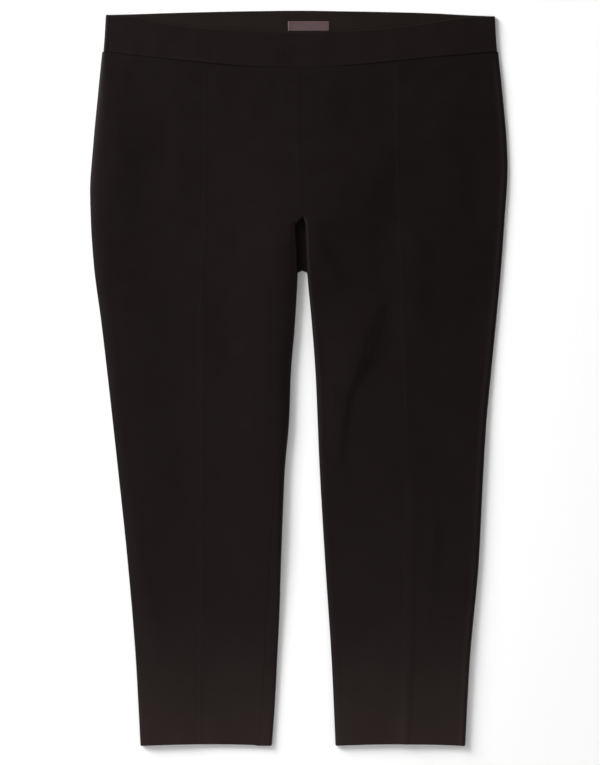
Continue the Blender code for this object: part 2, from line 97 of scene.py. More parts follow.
# Waist
WAIST_REACH_Y = 300.0
WAIST_REF_Y = 397.0
WAIST_STEP = 0.9  # how far the legs' cloth lies below the waistband's face, less towards both sides
WAIST_STEP_WEST = -240.0  # where the step begins, and over what width it grows
WAIST_STEP_GROWTH = 150.0
WAIST_STEP_EAST = 60.0  # where it starts to shrink, over what width and to what share
WAIST_STEP_SHRINK = 120.0
WAIST_STEP_LEAST = 0.6
WAIST_EASE = 32.0
BAND_TOP_ROUND = 1.6  # over which the folded top edge rounds off
BAND_TOP_LEAST = 0.15  # the share of its wall that is left there

# Stitched crease down each front
TUCK_HEIGHT = 0.11
TUCK_WEST = 1.3  # how far it spreads to either side
TUCK_EAST = 6.0
TUCK_UP = 0.6  # its share of that height up the leg, and at the hem
TUCK_DOWN = 1.8
TUCK_CHANGE_Y = -150.0  # where it changes between them, and over what length
TUCK_CHANGE = 270.0

# Stitches: how far apart, how long and how thick they are
STITCH_STEP = 3.0
STITCH_LENGTH = 2.3
STITCH_RADIUS = 0.15
STITCH_OFFSET = 1.7  # of a crease's stitches from its ridge
STITCH_RINGS = ((-1.0, 0.35), (-0.7, 0.85), (-0.25, 1.0), (0.25, 1.0), (0.7, 0.85), (1.0, 0.35))
STITCH_SIDES = 6  # each ring has its place on the half length and its share of the radius
STITCH_SINK = 1.3  # how far, in radii, its ends dip below its middle
STITCH_LIFT = 0.7  # how far, in radii, its middle lies above the cloth
STITCH_TOP = 16.0  # the crease's stitches end this far below the waist
PRICK_STEP = 7.0  # between the small stitches that hold a hem up
PRICK_LENGTH = 0.9
PRICK_DROP = 2.0  # below the turned-up cloth's top
PRICK_MARGIN = 20.0  # from the inner edge
LABEL_STITCH_STEP = 2.1
LABEL_STITCH_LENGTH = 1.5
LABEL_STITCH_INSET = 1.3  # from the label's ends, and from its lower and upper edges
LABEL_STITCH_LOW = 1.4
LABEL_STITCH_HIGH = 0.6

# Centre-front seam, its turnings pressed under the right leg's edge
CENTRE_RISE = 0.15
CENTRE_TURNING = 8.0
CENTRE_GROOVE = 0.1
CENTRE_GROOVE_AT = 3.2  # from the seam, and how wide it is
CENTRE_GROOVE_WIDTH = 0.8
CENTRE_FLAT = 20.0  # how far from the seam the under panel's edge isn't rounded

# Label
LABEL_X = (-13.2, 37.0)
LABEL_Y = (422.6, 434.6)
LABEL_WALL = 0.5
LABEL_ROUND = 0.5  # over which its edges round off
LABEL_LEAST = 0.2  # the share of its wall that is left there

# Gentle unevenness of the lying cloth: how much it is drawn out along the garment, the size and
# height of its rolls and the layer of noise that it takes
Uneven = namedtuple("Uneven", "stretch size height seed")
FRONT_FINE = Uneven(0.45, 34.0, 0.35, 3.0)
FRONT_BROAD = Uneven(0.5, 90.0, 0.5, 9.0)
GATHERS = Uneven(0.12, 15.0, 0.5, 21.0)  # below the elastic
GATHER_REACH = 26.0
BAND_FINE = Uneven(0.3, 26.0, 0.35, 61.0)
BAND_BROAD = Uneven(1.0, 70.0, 0.3, 67.0)
BACK_ROLLS = Uneven(0.4, 30.0, 1.2, 41.0)
BACK_PRESSED = 0.35  # what the floor takes from the back's rolls, and the most that is left of them
BACK_MOST = 0.7
BACK_MARGIN = 8.0  # level cloth beside a fold, and over what width the rolls grow
BACK_EASE = 20.0
BACK_HEM_MARGIN = 30.0  # the same above the hem
BACK_HEM_EASE = 30.0

# Rows and columns of points
ARC_SHARES = np.array((0.0, 0.05, 0.12, 0.21, 0.32, 0.48, 0.66, 0.83, 1.0))[None, :]
INSEAM_SHARES = np.concatenate((np.linspace(0.0, 0.94, 24), (0.97, 0.985, 1.0)))[None, :]
BAND_SHARES = np.concatenate((
    (0.0, 0.006, 0.014, 0.03),
    np.linspace(0.05, 0.94, 22),
    (0.965, 0.98, 0.99, 0.996, 1.0),
))[:, None]
RIDGE_PLACES = np.concatenate((
    np.linspace(-TUCK_WEST - 0.6, 0.6, 9),
    np.linspace(1.1, TUCK_EAST + 0.6, 9),
))[None, :]
HEM_ROWS = np.array((0.0, 0.12, 0.35, 0.7, 1.2, 2.0, 3.0))
WAIST_ROWS = np.array((0.0, 0.25, 0.6, 1.1, 1.8, 3.0))
LEAST_ROW = 0.1
FRONT_ROW = 3.0
BACK_ROW = 4.0
PANEL_COLUMNS = 44  # of a front to either side of its stitched crease
FOLD_COLUMN = 0.6  # how far apart they are beside a fold and beside the stitched crease
TUCK_COLUMN = 4.0
FRONT_OFF_FOLD = 0.5  # from where a fold's roll ends to the first level column
BACK_OFF_FOLD = 0.7
BACK_OFF_CENTRE = 1.5
BACK_COLUMNS = 48
BAND_COLUMNS = 210
BAND_OFF_FOLD = 1.0
LABEL_COLUMNS = 60
LABEL_ROWS = 20

# Where the rows of a panel are closer together
Span = namedtuple("Span", "low high step")
FRONT_SPANS = (
    Span(HEM_LINE_Y - 3.0, HEM_LINE_Y + 3.0, 1.0),
    Span(CROTCH_Y - 2.0, CROTCH_Y + 5.0, 0.8),
    Span(SLOT_TOP_Y - 20.0, SLOT_TOP_Y + 12.0, 1.2),
)
BACK_SPANS = (
    Span(HEM_LINE_Y - 3.0, HEM_LINE_Y + 3.0, 1.0),
    Span(CROTCH_Y - 9.0, CROTCH_Y + 2.0, 0.6),
)

# Flat sizes of the cut pieces, in metres and square metres
FRONT_CUT = ((0.262, 0.880), 0.185)
BACK_CUT = ((0.275, 0.900), 0.195)
BAND_CUT = ((0.486, 0.050), 0.0225)
LABEL_CUT = ((0.050, 0.013), 0.00065)

# Cloth: its darker and lighter tone and the shader's constants
Cloth = namedtuple("Cloth", "name dark light roughness sheen specular nap")
LEG_TWILL = Cloth(
    "leg_twill", (0.0042, 0.0029, 0.0026), (0.0052, 0.0038, 0.0035), 0.45, 0.02, 0.08, 0.03
)
BAND_TWILL = Cloth(
    "band_twill", (0.0050, 0.0036, 0.0032), (0.0061, 0.0045, 0.0041), 0.46, 0.02, 0.08, 0.03
)
BAND_FACING = Cloth(
    "band_facing", (0.0078, 0.0054, 0.0047), (0.0093, 0.0066, 0.0056), 0.46, 0.02, 0.08, 0.03
)
LABEL_SATIN = Cloth(
    "label_satin", (0.060, 0.038, 0.042), (0.080, 0.052, 0.056), 0.45, 0.05, 0.3, 0.0
)
LEG_THREAD = (0.0060, 0.0045, 0.0041)
LABEL_THREAD = (0.075, 0.050, 0.054)
# Painted shade between a thread's strands and painted light on them
THREAD_SHADE_AND_LIGHT = (0.8, 1.2)  # of a thread's colour, between its strands and on them
THREAD_SCALE = 900.0
MOTTLE_SCALE = 45.0
PATCH_SCALE = 11.0
WEFT_SCALE = 690.0
WARP_SCALE = 620.0
FIBRE_SCALE = 1500.0
FIBRE_SHARE = 0.6  # of the fibres in the relief of the weave
RELIEF = 0.00001  # its depth, in metres, and a thread's
THREAD_RELIEF = 0.00002
ROUGH_SPREAD = 0.03
WARM_GLOSS = (1.0, 0.8, 0.78, 1.0)
WARM_NAP = (1.0, 0.9, 0.86, 1.0)
WARM_SHEEN = (1.0, 0.8, 0.7, 1.0)
FLOOR_TONE = (0.82, 0.82, 0.82, 1.0)
FLOOR_HALF = 12.0

# The lights, in metres and watts
Light = namedtuple("Light", "name place target size power")
KEY_DISTANCE = 5.0
KEY_TURN = math.radians(141.0)
KEY_RISE = math.radians(24.0)
KEY_PLACE = (
    KEY_DISTANCE * math.cos(KEY_TURN) * math.cos(KEY_RISE),
    KEY_DISTANCE * math.sin(KEY_TURN) * math.cos(KEY_RISE),
    KEY_DISTANCE * math.sin(KEY_RISE),
)
LIGHTS = (
    Light("key", KEY_PLACE, (0.0, 0.0, 0.0), (2.42, 2.42), 490.0),
    Light("overhead", (-1.0, 0.0, 2.5), (-1.0, 0.0, 0.0), (1.8, 2.6), 4.5),
    Light("beside", (-2.0, -0.5, 1.6), (-0.2, -0.1, 0.0), (1.6, 1.8), 10.0),
    Light("beyond_the_hems", (0.0, -0.7, 1.5), (0.0, -0.45, 0.0), (2.0, 0.3), 6.0),
)

# The surround is bright low down and dim overhead, and brighter towards +X and +Y
SURROUND_LOW = 0.57  # the sines of the heights between which it dims
SURROUND_HIGH = 0.87
SURROUND_BRIGHT = 0.5
SURROUND_DIM = 0.05
SURROUND_EVEN = 1.05
SURROUND_EAST = 0.7
SURROUND_NORTH = 0.5

# The camera, in millimetres of lens and sensor and metres of place
LENS = 85.0
SENSOR = 36.0
VIEW_HEIGHT = 0.9333
CAMERA_X = 0.0014
CAMERA_Y = -0.0055

# The side edge and the stitched crease of each leg, how high its folded edge stands and how far in
# the front rolls down to it
Side = namedtuple("Side", "y outer tuck height reach")
RIGHT_SIDE = (
    Side(397.0, -239.8, -116.9, 5.0, 5.0),
    Side(344.0, -245.0, -116.9, 6.4, 10.0),
    Side(285.7, -250.4, -116.9, 7.5, 14.0),
    Side(227.1, -254.4, -116.9, 7.5, 14.0),
    Side(192.0, -253.5, -117.0, 7.5, 14.0),
    Side(139.3, -250.0, -119.0, 7.5, 14.0),
    Side(66.1, -240.5, -121.8, 7.5, 14.0),
    Side(7.5, -233.6, -121.3, 7.5, 14.0),
    Side(-109.6, -220.6, -121.2, 7.5, 14.0),
    Side(-226.7, -208.3, -120.8, 7.5, 14.0),
    Side(-343.9, -198.6, -120.3, 7.5, 14.0),
    Side(-447.8, -193.0, -120.0, 7.0, 12.0),
)
LEFT_SIDE = (
    Side(397.0, 243.0, 117.3, 4.6, 4.0),
    Side(344.0, 248.5, 117.3, 4.0, 3.0),
    Side(285.7, 253.5, 117.4, 3.5, 3.0),
    Side(256.4, 254.5, 118.3, 3.6, 3.0),
    Side(192.0, 250.7, 120.6, 3.8, 3.0),
    Side(139.3, 247.0, 122.2, 3.7, 3.0),
    Side(66.1, 240.2, 124.5, 3.8, 3.2),
    Side(7.5, 234.4, 127.2, 4.3, 3.5),
    Side(-51.1, 228.8, 128.6, 5.2, 3.5),
    Side(-109.6, 225.1, 128.9, 6.0, 3.5),
    Side(-226.7, 219.0, 128.0, 6.0, 3.5),
    Side(-343.9, 208.3, 126.5, 6.8, 3.5),
    Side(-447.8, 202.6, 126.5, 6.7, 3.5),
)

# The inner edge of each leg, from where the fronts part. inseam is the cloth between the fold's tip
# and the inseam, which is above zero where the back panel comes round onto the front.
Inner = namedtuple("Inner", "y edge inseam height reach")
RIGHT_INNER = (
    Inner(397.0, 5.4, 0.0, 5.2, 4.0),
    Inner(330.0, 5.4, 0.0, 6.2, 4.0),
    Inner(260.0, 5.4, 0.0, 8.2, 4.0),
    Inner(198.0, 5.4, 0.0, 10.2, 5.0),
    Inner(184.0, -3.2, 0.0, 11.0, 7.0),
    Inner(139.3, -1.3, 0.0, 12.0, 12.0),
    Inner(66.1, -4.7, 0.0, 11.5, 15.0),
    Inner(7.5, -9.6, 1.0, 11.5, 15.0),
    Inner(-51.1, -11.8, 6.5, 11.0, 12.0),
    Inner(-109.6, -16.9, 10.5, 10.5, 8.0),
    Inner(-168.2, -19.6, 13.2, 10.5, 5.0),
    Inner(-226.7, -21.8, 14.8, 9.3, 3.0),
    Inner(-285.3, -23.6, 15.9, 7.2, 2.5),
    Inner(-343.9, -26.5, 16.0, 6.0, 2.5),
    Inner(-402.4, -29.6, 16.0, 5.4, 2.5),
    Inner(-447.8, -33.0, 16.0, 5.4, 2.5),
)
LEFT_INNER = (
    Inner(397.0, 5.4, 0.0, 5.2, 4.0),
    Inner(330.0, 5.4, 0.0, 6.2, 4.0),
    Inner(260.0, 5.4, 0.0, 8.2, 4.0),
    Inner(198.0, 5.4, 0.0, 10.2, 2.5),
    Inner(186.0, 7.4, 0.0, 11.0, 2.5),
    Inner(139.3, 9.3, 0.0, 11.0, 3.0),
    Inner(66.1, 15.7, 0.0, 9.0, 4.5),
    Inner(7.5, 20.1, 0.0, 7.5, 7.0),
    Inner(-109.6, 25.2, 0.0, 6.5, 7.0),
    Inner(-226.7, 32.1, 0.0, 6.0, 7.0),
    Inner(-343.9, 39.8, 0.0, 6.0, 7.0),
    Inner(-447.8, 44.6, 0.0, 6.0, 7.0),
)

# The centre-front seam above the legs, and the centre-back seam, which goes down to the crotch
Centre = namedtuple("Centre", "y front back")
CENTRES = (
    Centre(397.0, 0.8, 0.8),
    Centre(285.7, 1.0, 1.0),
    Centre(227.1, 2.8, 2.6),
    Centre(198.0, 5.4, 3.4),
    Centre(131.0, 5.4, 4.2),
)

# The waistband's two seams and its two folded top edges, across the garment
Waist = namedtuple("Waist", "x front_seam front_top back_seam back_top")
WAIST = (
    Waist(-236.0, 397.3, 442.4, 397.3, 442.7),
    Waist(-205.0, 393.3, 440.9, 398.8, 443.4),
    Waist(-160.0, 388.6, 431.5, 400.4, 444.9),
    Waist(-110.0, 383.4, 426.2, 402.0, 446.2),
    Waist(-55.0, 379.2, 423.2, 403.3, 447.3),
    Waist(0.0, 377.8, 421.7, 403.8, 447.8),
    Waist(55.0, 380.4, 422.9, 403.2, 447.1),
    Waist(110.0, 385.0, 426.7, 401.9, 446.1),
    Waist(160.0, 390.3, 433.1, 400.2, 444.7),
    Waist(205.0, 394.3, 439.3, 398.4, 442.3),
    Waist(239.0, 397.3, 440.6, 397.3, 440.9),
)

# The waistband's side edges
BandSide = namedtuple("BandSide", "y right left")
BAND_SIDES = (
    BandSide(397.3, -238.2, 241.6),
    BandSide(420.0, -236.5, 239.9),
    BandSide(448.0, -235.0, 238.8),
)

# Creases of the fronts: the points along each crest or trough, its height, how far it spreads to
# either side (towards -X and +X) and over how much of its length it fades in and out
Crease = namedtuple("Crease", "points height west east fade_in fade_out")
CREASE_STEP = 5.0  # between the points that its curve is drawn through
CREASES = (
    # the hip's roll along the side seam, right leg
    Crease(((-214.5, 330), (-213.3, 278), (-217, 230), (-222, 183)), 0.5, 30, 16, 60, 60),
    Crease(((-217.5, 336), (-217.5, 300), (-217.5, 262), (-217.5, 236)), 0.35, 14, 4, 30, 40),
    # from the side seam down the shin
    Crease(((-210, -160), (-191.4, -234), (-181.6, -277), (-175.5, -322), (-172, -360)),
           0.6, 14, 10, 40, 80),
    # the leg is highest along its stitched crease
    Crease(((-117, 250), (-121, 0), (-121, -250), (-120, -440)), 1.5, 60, 26, 120, 120),
    # roll of the inner thigh, right leg
    Crease(((-15, 190), (-18, 140), (-24, 60), (-30, -10), (-34, -60)), 0.5, 22, 12, 30, 60),
    # soft dents of the right knee
    Crease(((-84, 60), (-80, 30)), -0.8, 15, 18, 20, 20),
    Crease(((-78, -35), (-70, -70)), -0.7, 16, 18, 20, 20),
    # the strongest crease of the left thigh: a broad crest, its steep east face and its trough
    Crease(((103, 99), (89, 60), (74, 21), (59, -14)), 2.6, 40, 7.5, 30, 60),
    Crease(((113, 99), (99, 60), (84, 21), (69, -14)), -2.2, 7.5, 38, 30, 60),
    Crease(((90, 60), (75, 21), (60, -14), (56, -33), (52.5, -57), (48, -88), (46, -124)),
           2.6, 34, 6, 50, 80),
    # drag lines from the crotch
    Crease(((12, 200), (24, 160), (42, 130), (49, 92)), 0.7, 16, 9, 20, 40),
    # the left thigh's broad diagonal
    Crease(((104, 312), (94, 262), (76, 205), (60, 165)), 2.4, 50, 24, 60, 60),
    Crease(((130, 198), (139, 160), (142, 120), (136, 70), (130, 30)), 1.3, 44, 20, 40, 60),
    # hollow of the left hip
    Crease(((211, 285), (214, 230), (219, 180)), -1.0, 11, 12, 40, 40),
    # beside the left leg's stitched crease
    Crease(((141, -60), (141, -140), (140, -230), (137, -320), (133.5, -380), (131, -452)),
           0.6, 7, 3.0, 150, 4),
    Crease(((137, -320), (133.5, -380), (131, -452)), 0.4, 7, 3.0, 60, 4),
    # down the left shin
    Crease(((158, -110), (162, -150), (163.5, -191), (161.5, -222), (159, -271), (156.5, -301),
            (154, -350)), 1.3, 34, 8, 90, 90),
    Crease(((168, -70), (170, -140), (171, -190)), 1.5, 40, 26, 90, 60),
    # a faint wrinkle across the left leg
    Crease(((90, 8), (112, 6.5), (137, 8)), -0.5, 4, 4, 18, 20),
    Crease(((125, 200), (128, 0), (128, -250), (126, -440)), 1.0, 60, 34, 120, 120),
    # the lifted mouths of the hems
    Crease(((-160, -447), (-120, -447)), 1.2, 40, 40, 30, 40),
    Crease(((110, -447), (170, -447)), 0.8, 40, 40, 30, 30),
)


def smooth(a):
    """A ramp from 0 to 1 with level ends."""
    a = np.clip(a, 0.0, 1.0)
    return a * a * (3.0 - 2.0 * a)


def mix(a, b, share):
    """What lies a share of the way from one value to another."""
    return a + (b - a) * share


def curve(table, key, column):
    """A function that reads a column of a table at any values of its key, never past its rows."""
    rows = sorted(table, key=lambda row: getattr(row, key))
    xs = np.array([getattr(row, key) for row in rows])
    ys = np.array([getattr(row, column) for row in rows])
    steps = np.diff(ys) / np.diff(xs)
    slopes = np.concatenate((steps[:1], np.zeros(len(xs) - 2), steps[-1:]))
    product = steps[:-1] * steps[1:]
    turns = product <= 0.0
    total = np.where(turns, 1.0, steps[:-1] + steps[1:])
    slopes[1:-1] = np.where(turns, 0.0, 2.0 * product / total)

    def value(at):
        at = np.clip(at, xs[0], xs[-1])
        i = np.clip(np.searchsorted(xs, at, side="right") - 1, 0, len(xs) - 2)
        span = xs[i + 1] - xs[i]
        t = (at - xs[i]) / span
        low = ys[i] * (1.0 + 2.0 * t) * (1.0 - t) ** 2
        high = ys[i + 1] * t * t * (3.0 - 2.0 * t)
        start = slopes[i] * span * t * (1.0 - t) ** 2
        end = slopes[i + 1] * span * t * t * (t - 1.0)
        return low + high + start + end

    return value


class Leg:
    """One leg's curves, each a function of the height up the garment."""

    def __init__(self, side, inner, welt):
        self.outer = curve(side, "y", "outer")
        self.tuck = curve(side, "y", "tuck")
        self.outer_height = curve(side, "y", "height")
        self.outer_reach = curve(side, "y", "reach")
        self.fold = curve(inner, "y", "edge")
        self.inseam = curve(inner, "y", "inseam")
        self.inner_height = curve(inner, "y", "height")
        self.inner_reach = curve(inner, "y", "reach")
        beside_gap = [row for row in inner if not CROTCH_Y < row.y - SLOT_MARGIN < SLOT_TOP_Y]
        self.guide = curve(beside_gap, "y", "edge")
        self.inward = 1.0 if side[0].outer < 0.0 else -1.0
        self.welt = welt

    def inner(self, y):
        """The front's inner edge: the centre-front seam, then the fold of the inner leg."""
        return np.where(y >= SLOT_TOP_Y, centre_front(y), self.fold(y))


centre_front = curve(CENTRES, "y", "front")
centre_back = curve(CENTRES, "y", "back")
waist = {column: curve(WAIST, "x", column) for column in Waist._fields[1:]}
band_side = {column: curve(BAND_SIDES, "y", column) for column in ("right", "left")}
right_leg = Leg(RIGHT_SIDE, RIGHT_INNER, 0.0)
left_leg = Leg(LEFT_SIDE, LEFT_INNER, WELT_HEIGHT)


def hem_turn(y):
    """What the hem adds to the inside of the cloth at a height."""
    return HEM_TURN * (1.0 - smooth((y - (HEM_LINE_Y - HEM_STEP)) / (2.0 * HEM_STEP)))


def hem_raise(y):
    """How much the turned hem lifts the front at a height."""
    return HEM_RAISE * (1.0 - smooth((y - (HEM_LINE_Y - HEM_STEP)) / HEM_FADE))


def edge_round(distance, reach, least):
    """What is left of a wall near an edge that rounds off."""
    a = np.clip(distance / reach, 0.0, 1.0)
    return mix(least, 1.0, np.sqrt(1.0 - (1.0 - a) ** 2))


def along_curve(points):
    """Points about a step apart on a smooth curve through the given ones."""
    p = np.array(points, float)
    p = np.concatenate((2.0 * p[:1] - p[1:2], p, 2.0 * p[-1:] - p[-2:-1]))
    found = []
    for i in range(1, len(p) - 2):
        count = max(int(np.linalg.norm(p[i + 1] - p[i]) / CREASE_STEP), 1)
        t = np.arange(count)[:, None] / count
        found.append(
            0.5
            * (
                2.0 * p[i]
                + (p[i + 1] - p[i - 1]) * t
                + (2.0 * p[i - 1] - 5.0 * p[i] + 4.0 * p[i + 1] - p[i + 2]) * t**2
                + (3.0 * p[i] - p[i - 1] - 3.0 * p[i + 1] + p[i + 2]) * t**3
            )
        )
    return np.concatenate(found + [p[-2:-1]])


def crease_height(crease, x, y):
    """How far one crease moves the cloth, at arrays of places."""
    line = along_curve(crease.points)
    start, step = line[:-1], np.diff(line, axis=0)
    length = np.linalg.norm(step, axis=1)
    reached = np.concatenate(([0.0], np.cumsum(length)))
    reach = 3.0 * max(crease.west, crease.east)
    near = (x > line[:, 0].min() - reach) & (x < line[:, 0].max() + reach)
    near &= (y > line[:, 1].min() - reach) & (y < line[:, 1].max() + reach)
    height = np.zeros_like(x)
    place = np.stack((x[near], y[near]), axis=1)
    if not len(place):
        return height
    away = place[:, None, :] - start[None]
    share = np.clip((away * step).sum(2) / length**2, 0.0, 1.0)
    off = away - share[..., None] * step
    distance = np.linalg.norm(off, axis=2)
    i = distance.argmin(axis=1)
    rows = np.arange(len(i))
    at = reached[i] + share[rows, i] * length[i]
    fade = smooth(at / crease.fade_in) * smooth((reached[-1] - at) / crease.fade_out)
    width = np.where(off[rows, i, 0] < 0.0, crease.west, crease.east)
    height[near] = crease.height * fade * np.exp(-((distance[rows, i] / width) ** 2))
    return height


def undulation(x, y, uneven):
    """Gentle unevenness of lying cloth, from smooth noise."""
    size, drawn_out = uneven.size, y * uneven.stretch
    places = zip(x.ravel(), drawn_out.ravel())
    found = [noise.noise(Vector((a / size, b / size, uneven.seed))) for a, b in places]
    return uneven.height * np.array(found).reshape(x.shape)


def relief(x, y):
    """The height of creases and unevenness over the fronts' lying height."""
    total = undulation(x, y, FRONT_FINE) + undulation(x, y, FRONT_BROAD)
    for crease in CREASES:
        total += crease_height(crease, x, y)
    to_waist = waist["front_seam"](x) - y
    total += undulation(x, y, GATHERS) * np.exp(-((to_waist / GATHER_REACH) ** 2))
    return np.where(total < 0.0, DEEPEST * np.tanh(total / DEEPEST), total)


def band_height(x, y):
    """The height of the middle of the front waistband."""
    to_side = np.minimum(x - band_side["right"](y), band_side["left"](y) - x) - BAND_FOLD_HEIGHT
    lying = BAND_WALL + SEAM_GAP + BAND_AIR + BAND_WALL / 2.0
    lying = lying + undulation(x, y, BAND_FINE) + undulation(x, y, BAND_BROAD)
    return mix(BAND_FOLD_HEIGHT - BAND_WALL / 2.0, lying, smooth(to_side / BAND_EASE))


def waist_step(x):
    """How far the legs' cloth lies below the waistband's face at the seam."""
    grown = smooth((x - WAIST_STEP_WEST) / WAIST_STEP_GROWTH)
    shrunk = smooth((x - WAIST_STEP_EAST) / WAIST_STEP_SHRINK)
    return WAIST_STEP * grown * mix(1.0, WAIST_STEP_LEAST, shrunk)


def front_height(leg, x, y):
    """The height of the middle of the upper layer, which rolls down to its folded edges."""
    outer, inner, guide = x - leg.outer(y), x - leg.inner(y), x - leg.guide(y)
    outer_height, outer_reach = leg.outer_height(y), leg.outer_reach(y)
    inner_height, inner_reach = leg.inner_height(y), leg.inner_reach(y)
    turn = inner_turn(y)
    below_waist = smooth((waist["front_seam"](x) - y) / WAIST_EASE)
    at_seam = band_height(x, waist["front_seam"](x)) + (BAND_WALL - WALL) / 2.0 - waist_step(x)
    level = mix(at_seam, WALL + SEAM_GAP + AIR + hem_raise(y) + WALL / 2.0, below_waist)
    level = toward_fold(level, outer, outer_height, outer_reach, OUTER_EASE)
    level = toward_fold(level, guide, inner_height, inner_reach, INNER_EASE)
    at_edges = held(outer) * mix(1.0, held(inner), turn)
    z = level + relief(x, y) * below_waist * at_edges
    past_roll = np.maximum(np.abs(outer) - outer_reach, 0.0)
    z = z + leg.welt * np.exp(-((past_roll / WELT_WIDTH) ** 2)) * below_waist
    z = rolled(z, outer, outer_height, outer_reach, 1.0)
    return rolled(z, inner, inner_height, inner_reach, turn)


def toward_fold(level, offset, height, reach, ease):
    """A lying height brought up to a fold's own height near it."""
    return mix(height - WALL / 2.0, level, smooth((np.abs(offset) - reach) / ease))


def held(offset):
    """What a fold leaves of the creases near it."""
    return mix(HELD_SHARE, 1.0, smooth(np.abs(offset) / EDGE_HOLD))


def rolled(z, offset, height, reach, turn):
    """The upper layer rolled down over a fold's reach."""
    inward = np.maximum(np.abs(offset) - WALL / 2.0, 0.0)
    roll = np.sqrt(1.0 - (1.0 - np.minimum(inward / reach, 1.0)) ** 2)
    return mix(z, height / 2.0 + (z - height / 2.0) * roll, turn)


def inner_turn(y):
    """1 where the front's inner edge turns down between the legs, 0 on the centre-front seam."""
    return 1.0 - smooth((y - (SLOT_TOP_Y - SLOT_TURN)) / SLOT_TURN)


def fold_point(edge, inward, t, wall, height):
    """A point on a folded edge, t along the cloth from the fold's tip, positive on its top side."""
    radius = (height - wall) / 2.0
    angle = np.clip(t / radius, -math.pi / 2.0, math.pi / 2.0)
    beyond = np.maximum(np.abs(t) - radius * math.pi / 2.0, 0.0)
    x = edge + inward * (wall / 2.0 + radius * (1.0 - np.cos(angle)) + beyond)
    return x, height / 2.0 + radius * np.sin(angle)


def quarter(height, wall):
    """The cloth in a quarter turn of a folded edge."""
    return (height - wall) / 2.0 * math.pi / 2.0


def leg_fold(leg, edge, inward, t, y, height):
    """Points on a leg's folded edge, on the upper layer's rolled form above the fold's tip."""
    x, z = fold_point(edge, inward, t, WALL, height)
    return x, np.where(t > 0.0, front_height(leg, x, np.broadcast_to(y, x.shape)), z)


def waist_row(y, seam):
    """Nominal heights moved so that the top row lies on the waist seam."""
    share = np.clip((y - WAIST_REACH_Y) / (WAIST_REF_Y - WAIST_REACH_Y), 0.0, None)
    return np.where(y > WAIST_REACH_Y, mix(WAIST_REACH_Y, seam - SEAM_GAP / 2.0, share), y)


def hem_row(leg, x, y):
    """Nominal heights moved so that the lowest row follows the hem's curve."""
    outer, inner = leg.outer(y), leg.inner(y)
    across = (2.0 * x - outer - inner) / (outer - inner)
    share = np.clip((HEM_REACH_Y - y) / (HEM_REACH_Y - HEM_CORNER_Y), 0.0, 1.0)
    return y + share * HEM_RISE * np.clip(1.0 - across * across, 0.0, None)


def row_at(leg, x, y, seam_column):
    """Nominal heights moved at both ends of a panel."""
    return waist_row(hem_row(leg, x, y), waist[seam_column](x))


# Points of a sheet's middle, and its wall's two sides from there
Grid = namedtuple("Grid", "x y z up down")


def joined(parts):
    """One grid from several side by side, each given by its places across, along and in height."""
    full = [[np.broadcast_to(values, part[0].shape) for values in part] for part in parts]
    return [np.concatenate([part[k] for part in full], axis=1) for k in range(3)]


def spaced(first, last, first_step, last_step, count):
    """Places from one column to another, closer together at the ends."""
    t = np.linspace(0.0, 1.0, count)[None, :]
    span = np.abs(last - first)
    start, end = first_step * (count - 1) / span, last_step * (count - 1) / span
    share = t * t * (3.0 - 2.0 * t) + start * t * (1.0 - t) ** 2 - end * t * t * (1.0 - t)
    return first + (last - first) * share


def leg_rows(spans, step):
    """Nominal heights from the hem to the waist, closer together in some spans."""
    ends = HEM_CORNER_Y + HEM_ROWS
    tops = WAIST_REF_Y - WAIST_ROWS
    found = [ends, tops, np.arange(ends[-1] + step, tops[-1] - step / 2.0, step)]
    for span in spans:
        found.append(np.arange(span.low, span.high, span.step))
    rows = np.sort(np.concatenate(found))
    return rows[np.concatenate(([True], np.diff(rows) > LEAST_ROW))]


def outer_fold(leg, nominal, seam_column, sign):
    """A layer's half of a leg's outer fold, above or below its tip, and how high the fold stands."""
    y = row_at(leg, leg.outer(nominal), nominal, seam_column)
    height = leg.outer_height(y)
    t = sign * mix(SEAM_GAP / 2.0, quarter(height, WALL), ARC_SHARES)
    x, z = leg_fold(leg, leg.outer(y), leg.inward, t, y, height)
    return (x, y, z), height


